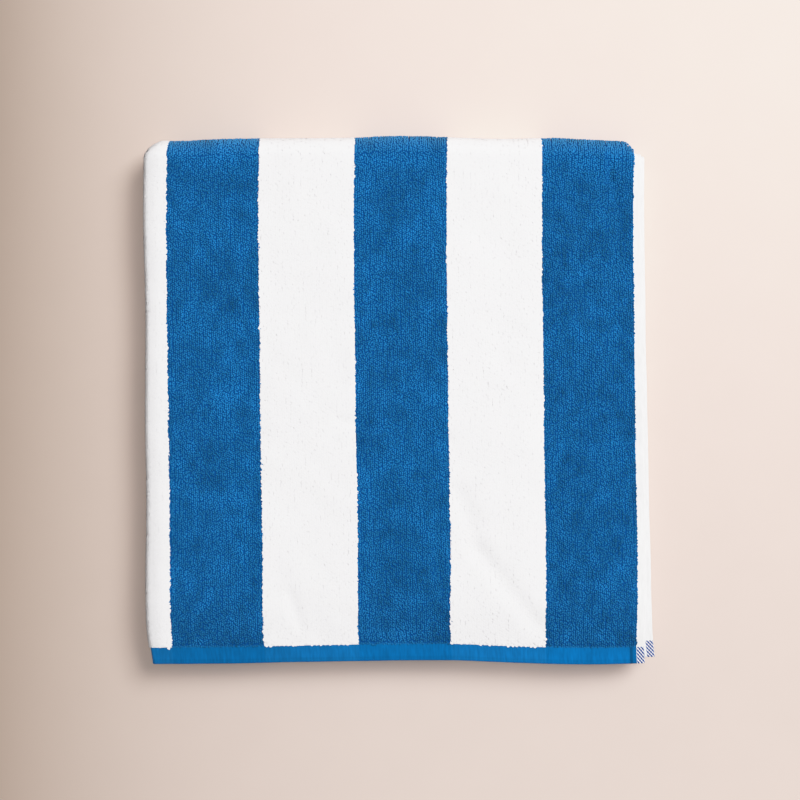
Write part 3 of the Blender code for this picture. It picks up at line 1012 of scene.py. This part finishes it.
class Number:
    """A number that a node puts out. Sums with it add the nodes that work them out."""

    def __init__(self, nodes, socket):
        self.nodes = nodes
        self.socket = socket

    def __add__(self, other):
        return self.nodes.math("ADD", self, other)

    def __radd__(self, other):
        return self.nodes.math("ADD", other, self)

    def __sub__(self, other):
        return self.nodes.math("SUBTRACT", self, other)

    def __rsub__(self, other):
        return self.nodes.math("SUBTRACT", other, self)

    def __mul__(self, other):
        return self.nodes.math("MULTIPLY", self, other)

    def __truediv__(self, other):
        return self.nodes.math("DIVIDE", self, other)

    def __rtruediv__(self, other):
        return self.nodes.math("DIVIDE", other, self)


class Nodes:
    """A node tree, with short ways to add nodes to it and link them."""

    def __init__(self, tree):
        self.tree = tree

    def put(self, socket, value):
        """Sets a socket to a value, or links it to a number or to another socket."""
        if isinstance(value, (int, float, tuple)):
            socket.default_value = value
            return
        source = value.socket if isinstance(value, Number) else value
        self.tree.links.new(source, socket)

    def add(self, kind, inputs, **settings):
        """A new node with these settings, and with values or links for its inputs."""
        node = self.tree.nodes.new(kind)
        for name, value in settings.items():
            setattr(node, name, value)
        for socket, value in inputs.items():
            self.put(node.inputs[socket], value)
        return node

    def attribute(self, name):
        return Number(self, self.add("ShaderNodeAttribute", {}, attribute_name=name).outputs["Fac"])

    def math(self, operation, first, second=0.0, clamp=False):
        node = self.add("ShaderNodeMath", {0: first, 1: second}, operation=operation, use_clamp=clamp)
        return Number(self, node.outputs[0])

    def ramp(self, value, start, full, amount=1.0):
        """0 before the start, the amount past full, and a smooth change between them."""
        inputs = {"Value": value, "From Min": start, "From Max": full, "To Max": amount}
        node = self.add("ShaderNodeMapRange", inputs, interpolation_type="SMOOTHSTEP")
        return Number(self, node.outputs["Result"])

    def place(self):
        """The place on the piece, in metres."""
        return self.add("ShaderNodeTexCoord", {}).outputs["Object"]

    def vector(self, x, y):
        return self.add("ShaderNodeCombineXYZ", {"X": x, "Y": y}).outputs[0]

    def scaled(self, vector, scale):
        return self.add("ShaderNodeVectorMath", {0: vector, "Scale": scale}, operation="SCALE").outputs[0]

    def noise(self, vector, detail):
        """Noise from about -1 to 1."""
        node = self.add("ShaderNodeTexNoise", {"Vector": vector, "Scale": 1.0, "Detail": detail})
        return (Number(self, node.outputs["Fac"]) - 0.5) * 4.0

    def mix(self, share, first, second, blend="MIX"):
        inputs = {0: share, 6: first, 7: second}
        return self.add("ShaderNodeMix", inputs, data_type="RGBA", blend_type=blend).outputs[2]

    def shaded(self, colour, shade):
        """The colour times a shade, which is 1 where it stays as it is."""
        grey = self.add("ShaderNodeCombineColor", {0: shade, 1: shade, 2: shade}).outputs[0]
        return self.mix(1.0, colour, grey, "MULTIPLY")

    def group(self, group, **values):
        """What an effect group puts out, with its inputs named in lower case."""
        inputs = {label.title(): value for label, value in values.items()}
        return Number(self, self.add("ShaderNodeGroup", inputs, node_tree=group).outputs[0])

    def bump(self, height, distance, strength):
        inputs = {"Height": height, "Distance": distance, "Strength": strength}
        return self.add("ShaderNodeBump", inputs).outputs["Normal"]


def new_group(name, inputs, output):
    """A shader node group with one number for its output, as its nodes, its inputs and its output."""
    tree = bpy.data.node_groups.new(name, "ShaderNodeTree")
    for label in inputs:
        tree.interface.new_socket(name=label, in_out="INPUT", socket_type="NodeSocketFloat")
    tree.interface.new_socket(name=output, in_out="OUTPUT", socket_type="NodeSocketFloat")
    nodes = Nodes(tree)
    sockets = tree.nodes.new("NodeGroupInput").outputs[: len(inputs)]
    return nodes, [Number(nodes, socket) for socket in sockets], tree.nodes.new("NodeGroupOutput").inputs[0]


def uneven_dye_group():
    """How the colour varies over the cloth: streaks along the warp, and soft patches."""
    inputs = ("Across", "Along", "Streaks", "Patches")
    nodes, (across, along, streaks, patches), shade = new_group("uneven_dye", inputs, "Shade")

    def sized(across_size, along_size, detail):
        return nodes.noise(nodes.vector(across / across_size, along / along_size), detail)

    streaked = sized(*DYE_STREAKS) * streaks
    patched = (sized(*SMALL_PATCHES) + sized(*LARGE_PATCHES)) * patches
    nodes.put(shade, streaked + patched + 1.0)
    return nodes.tree


def cotton_fibres_group():
    """The fine fibres on the cotton's surface, as a height."""
    nodes, (size,), height = new_group("cotton_fibres", ("Size",), "Height")
    nodes.put(height, nodes.noise(nodes.scaled(nodes.place(), 1.0 / size), FIBRE_DETAIL))
    return nodes.tree


def flat_weave_group():
    """A plain weave, as a height."""
    nodes, (across, along, thread), height = new_group("flat_weave", ("Across", "Along", "Thread"), "Height")
    across_wave = nodes.math("SINE", across / thread * math.pi)
    along_wave = nodes.math("SINE", along / thread * math.pi)
    nodes.put(height, nodes.math("ABSOLUTE", across_wave * along_wave))
    return nodes.tree


def loop_rows_group():
    """Rows of pile loops seen from a distance, as a height: for the faces that lie hidden."""
    nodes, (across, along), height = new_group("loop_rows", ("Across", "Along"), "Height")
    place = nodes.vector(across / BLUE_LOOP.across, along / BLUE_LOOP.along)
    inputs = {"Vector": place, "Scale": 1.0, "Randomness": HIDDEN_LOOSENESS}
    cells = nodes.add("ShaderNodeTexVoronoi", inputs)
    nodes.put(height, nodes.math("SUBTRACT", 1.0, cells.outputs["Distance"], clamp=True))
    return nodes.tree


# Materials


def new_material(name, levels):
    """A material with these levels on its shader, as itself, its shader and its nodes."""
    material = bpy.data.materials.new(name)
    material.use_nodes = True
    shader = material.node_tree.nodes["Principled BSDF"]
    for label, level in levels.items():
        shader.inputs[label].default_value = level
    return material, shader, Nodes(material.node_tree)


def loop_material(name, pile, effects):
    """Pile loops: painted shade between them, painted light on their crests, each a little different."""
    material, shader, nodes = new_material(name, COTTON)
    across = nodes.attribute("across")
    along = nodes.attribute("along")
    dye = nodes.group(effects["dye"], across=across, along=along, streaks=pile.streaks, patches=pile.patches)
    tone = (nodes.attribute("tone") - 0.5) * (2.0 * pile.difference)
    # Painted shade over the side fold, which turns away from the light
    shade = dye + tone - nodes.ramp(across - FLAT_WIDTH / 2, *SIDE_FOLD_PAINTED_SHADE)
    # Only the blue pile has a painted sheen, so only it gets the painted shade, darker stripe and painted
    # light below
    if pile.fading:
        # Painted shade towards the hem and right beside it, and a darker last stripe
        hem_shade_and_darker_stripe = nodes.ramp(along, *TOWARDS_HEM_PAINTED_SHADE) + nodes.ramp(along - HEM, *BESIDE_HEM_PAINTED_SHADE)
        hem_shade_and_darker_stripe = hem_shade_and_darker_stripe + nodes.ramp(across / FLAT_WIDTH, *LAST_STRIPE)
        # Painted light where the pile goes over the back turn
        shade = shade + nodes.ramp(along - ENDS[TOP_RUN], *BACK_TURN_PAINTED_LIGHT) - hem_shade_and_darker_stripe
    # Painted shade on the loops' roots and flanks, painted light on their crests
    rise = nodes.math("POWER", nodes.attribute("rise"), PAINTED_CREST_SHARPNESS, clamp=True)
    colour = nodes.shaded(nodes.mix(rise, pile.deep, pile.yarn), shade)
    # A pale painted sheen where the pile opens over the back turn
    if pile.fading:
        past_bend = along - ENDS[TOP_RUN]
        onto_bend = nodes.math("POWER", nodes.ramp(past_bend, *PAINTED_SHEEN_START), PAINTED_SHEEN_SHARPNESS)
        painted_sheen = onto_bend * nodes.ramp(past_bend, *PAINTED_SHEEN_END) * pile.fading
        colour = nodes.mix(painted_sheen, colour, PAINTED_SHEEN_BLUE)
    nodes.put(shader.inputs["Base Color"], colour)
    fibres = nodes.group(effects["fibres"], size=LOOP_FIBRES)
    nodes.put(shader.inputs["Normal"], nodes.bump(fibres, *LOOP_BUMP))
    return material


def blue_stripes(nodes, to_stripe):
    """1 in the blue stripes of the cloth, and 0 in the white ones."""
    blue = 0.0
    place = SELVEDGE
    for index, width in enumerate(reversed(SIDE_STRIPES)):
        if index % 2 == 0:
            past_start = nodes.math("GREATER_THAN", to_stripe, place)
            before_end = nodes.math("LESS_THAN", to_stripe, place + width)
            blue = blue + past_start * before_end
        place += width
    return blue


def hem_colour(nodes, dye, blue, across, to_side, to_end):
    """The plain woven hem, with painted shade along its turned edge, and darker next to the selvedges."""
    level = nodes.ramp(across, FLAT_WIDTH / 2, FLAT_WIDTH, HEM_RISE) + HEM_LEVEL
    # Painted shade along the hem's turned edge
    turned_edge_shade = nodes.ramp(to_end, *TURNED_EDGE_PAINTED_SHADE) + (1.0 - TURNED_EDGE_PAINTED_SHADE[-1])
    # Darker next to the selvedges, most of all in a narrow band
    darkest = nodes.ramp(to_side, *DARK_BAND_OUTSIDE) * nodes.ramp(to_side, *DARK_BAND_INSIDE)
    darker_near_selvedge = darkest + nodes.ramp(to_side, *NEAR_SELVEDGE_DARKER)
    return nodes.shaded(nodes.mix(blue, PALE_BLUE_HEM, BLUE_HEM), dye * level * turned_edge_shade * (1.0 - darker_near_selvedge))


def twill_colour(nodes, along, to_side):
    """The twilled ends of the selvedges in the hem, with white edges."""
    turns_across = to_side / (TWILL_ACROSS / math.tau)
    turns_along = along / (TWILL_ALONG / math.tau)
    lines = nodes.math("SINE", turns_along - turns_across)
    twill = lines + nodes.math("SINE", turns_along + turns_across) * TWILL_CROSSING
    inside = nodes.ramp(to_side, *TWILL_START) * nodes.ramp(to_side, *TWILL_END)
    return nodes.mix(nodes.ramp(twill, *TWILL_BLUE) * inside, WHITE_SELVEDGE, BLUE_WEFT)


def cloth_material(effects):
    """The woven ground under the loops, the pile of the hidden faces, the hems and the selvedges."""
    material, shader, nodes = new_material("striped_ground", COTTON)
    across = nodes.attribute("across")
    along = nodes.attribute("along")
    under_pile = nodes.attribute("under_pile")
    to_side = nodes.math("MINIMUM", across, FLAT_WIDTH - across)
    to_end = nodes.math("MINIMUM", along, FLAT_LENGTH - along)
    under_sheet = nodes.math("LESS_THAN", across, FLAT_WIDTH / 2)
    to_stripe = to_side - under_sheet * UNDER_MARGIN
    blue = blue_stripes(nodes, to_stripe)
    in_hem = nodes.math("LESS_THAN", to_end, HEM)
    in_selvedge = nodes.math("LESS_THAN", to_stripe, SELVEDGE)
    rows = nodes.group(effects["rows"], across=across, along=along)
    weave = nodes.group(effects["weave"], across=across, along=along, thread=THREAD)
    fibres = nodes.group(effects["fibres"], size=CLOTH_FIBRES)
    dye = nodes.group(effects["dye"], across=across, along=along, **CLOTH_DYE)
    hem_dye = nodes.group(effects["dye"], across=across, along=along, **HEM_DYE)
    cords = nodes.math("SINE", to_side * (math.tau / CORD_PITCH))

    # Painted shade between the loops of the hidden faces
    blue_pile = nodes.mix(rows, BLUE_PAINTED_SHADE, BLUE_YARN)
    white_pile = nodes.mix(rows, WHITE_PAINTED_SHADE, WHITE_YARN)
    bare = nodes.mix(blue, white_pile, blue_pile)
    # The ground under the loops is painted in the shade colours
    ground = nodes.mix(blue, WHITE_PAINTED_SHADE, BLUE_PAINTED_SHADE)
    pile = nodes.mix(under_pile, bare, ground)
    selvedge = nodes.shaded(WHITE_SELVEDGE, cords * CORD_SHADE + CORD_LEVEL)
    hem = hem_colour(nodes, hem_dye, blue, across, to_side, to_end)
    woven = nodes.mix(in_selvedge, hem, twill_colour(nodes, along, to_side))
    plain = nodes.mix(in_selvedge, pile, selvedge)
    colour = nodes.mix(in_hem, plain, woven)
    nodes.put(shader.inputs["Base Color"], nodes.shaded(colour, dye))

    is_flat = nodes.math("MAXIMUM", in_hem, in_selvedge)
    flat_height = weave * WEAVE_HEIGHT + cords * CORD_HEIGHT
    looped = rows * (1.0 - under_pile)
    height = is_flat * flat_height + (1.0 - is_flat) * looped + fibres * FIBRE_HEIGHT
    nodes.put(shader.inputs["Normal"], nodes.bump(height, *CLOTH_BUMP))
    return material


# The studio


def make_floor():
    corners = [(x * FLOOR_REACH, y * FLOOR_REACH, 0.0) for x, y in ((-1, -1), (1, -1), (1, 1), (-1, 1))]
    mesh = bpy.data.meshes.new("floor")
    mesh.from_pydata(corners, [], [(0, 1, 2, 3)])
    floor = bpy.data.objects.new("floor", mesh)
    bpy.context.scene.collection.objects.link(floor)
    floor.location.z = -FLOOR_GAP
    material, shader, nodes = new_material("pale_plaster", PLASTER)
    place = nodes.place()
    parts = nodes.add("ShaderNodeSeparateXYZ", {0: place})
    x, y = (Number(nodes, socket) for socket in parts.outputs[:2])
    # Painted shade to the left of the towel, and painted light towards the back
    painted_left_shade = nodes.math("MINIMUM", nodes.math("POWER", math.e, (x - PAINTED_SHADE_START) / -PAINTED_SHADE_REACH), PAINTED_SHADE_MOST)
    plaster = nodes.mix(nodes.math("MULTIPLY", painted_left_shade, PAINTED_SHADE_SHARE, clamp=True), PALE_PLASTER, PAINTED_SHADE_PLASTER)
    painted_back_light = 1.0 + nodes.ramp(y, *PAINTED_BACK_LIGHT_SPAN) * (PAINTED_BACK_LIGHT - painted_left_shade * PAINTED_BACK_LIGHT_LOSS)
    mottle = nodes.noise(nodes.scaled(place, MOTTLE_SCALE), MOTTLE_DETAIL) * MOTTLE_STRENGTH + MOTTLE_LEVEL
    nodes.put(shader.inputs["Base Color"], nodes.shaded(plaster, painted_back_light * mottle))
    floor.data.materials.append(material)


def make_softbox(name, place, side, watts):
    lamp = bpy.data.lights.new(name, "AREA")
    lamp.shape = "SQUARE"
    lamp.size = side
    lamp.energy = watts
    softbox = bpy.data.objects.new(name, lamp)
    bpy.context.scene.collection.objects.link(softbox)
    softbox.location = place
    softbox.rotation_euler = (-softbox.location).to_track_quat("-Z", "Y").to_euler()


def make_lights():
    world = bpy.data.worlds.new("studio")
    world.use_nodes = True
    background = world.node_tree.nodes["Background"]
    background.inputs["Color"].default_value = STUDIO_LIGHT
    background.inputs["Strength"].default_value = STUDIO_STRENGTH
    bpy.context.scene.world = world
    for softbox in SOFTBOXES:
        make_softbox(*softbox)


def make_exposure():
    """A plain print of the colours, whose highlights roll off softly below white."""
    settings = bpy.context.scene.view_settings
    settings.view_transform = "Standard"
    settings.use_curve_mapping = True
    mapping = settings.curve_mapping
    mapping.clip_max_x = HIGHLIGHTS[-1][0]
    curve = mapping.curves[3]
    curve.points[0].location = HIGHLIGHTS[0]
    curve.points[1].location = HIGHLIGHTS[-1]
    for light, print_level in HIGHLIGHTS[1:-1]:
        curve.points.new(light, print_level)
    mapping.update()


def make_camera():
    """The camera looks straight down, with the photograph's scale at the towel's top."""
    camera = bpy.data.cameras.new("camera")
    camera.lens = LENS
    camera.sensor_width = SENSOR
    camera.dof.use_dof = False
    view = bpy.data.objects.new("camera", camera)
    bpy.context.scene.collection.objects.link(view)
    view.location = (0.0, CAMERA_Y, TOP_HEIGHT + PHOTO_SCALE * PHOTO_SIDE * LENS / SENSOR)
    bpy.context.scene.camera = view


def main():
    effects = {
        "dye": uneven_dye_group(),
        "fibres": cotton_fibres_group(),
        "weave": flat_weave_group(),
        "rows": loop_rows_group(),
    }
    blue_loops = loop_material("blue_loops", BLUE_PILE, effects)
    white_loops = loop_material("white_loops", WHITE_PILE, effects)
    cloth = make_cloth()
    cloth.data.materials.append(cloth_material(effects))
    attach(cloth, "root")
    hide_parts("towel")
    for pile, blue in make_pile():
        pile.data.materials.append(blue_loops if blue else white_loops)
        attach(pile, "root")
    make_floor()
    make_lights()
    make_exposure()
    make_camera()


main()
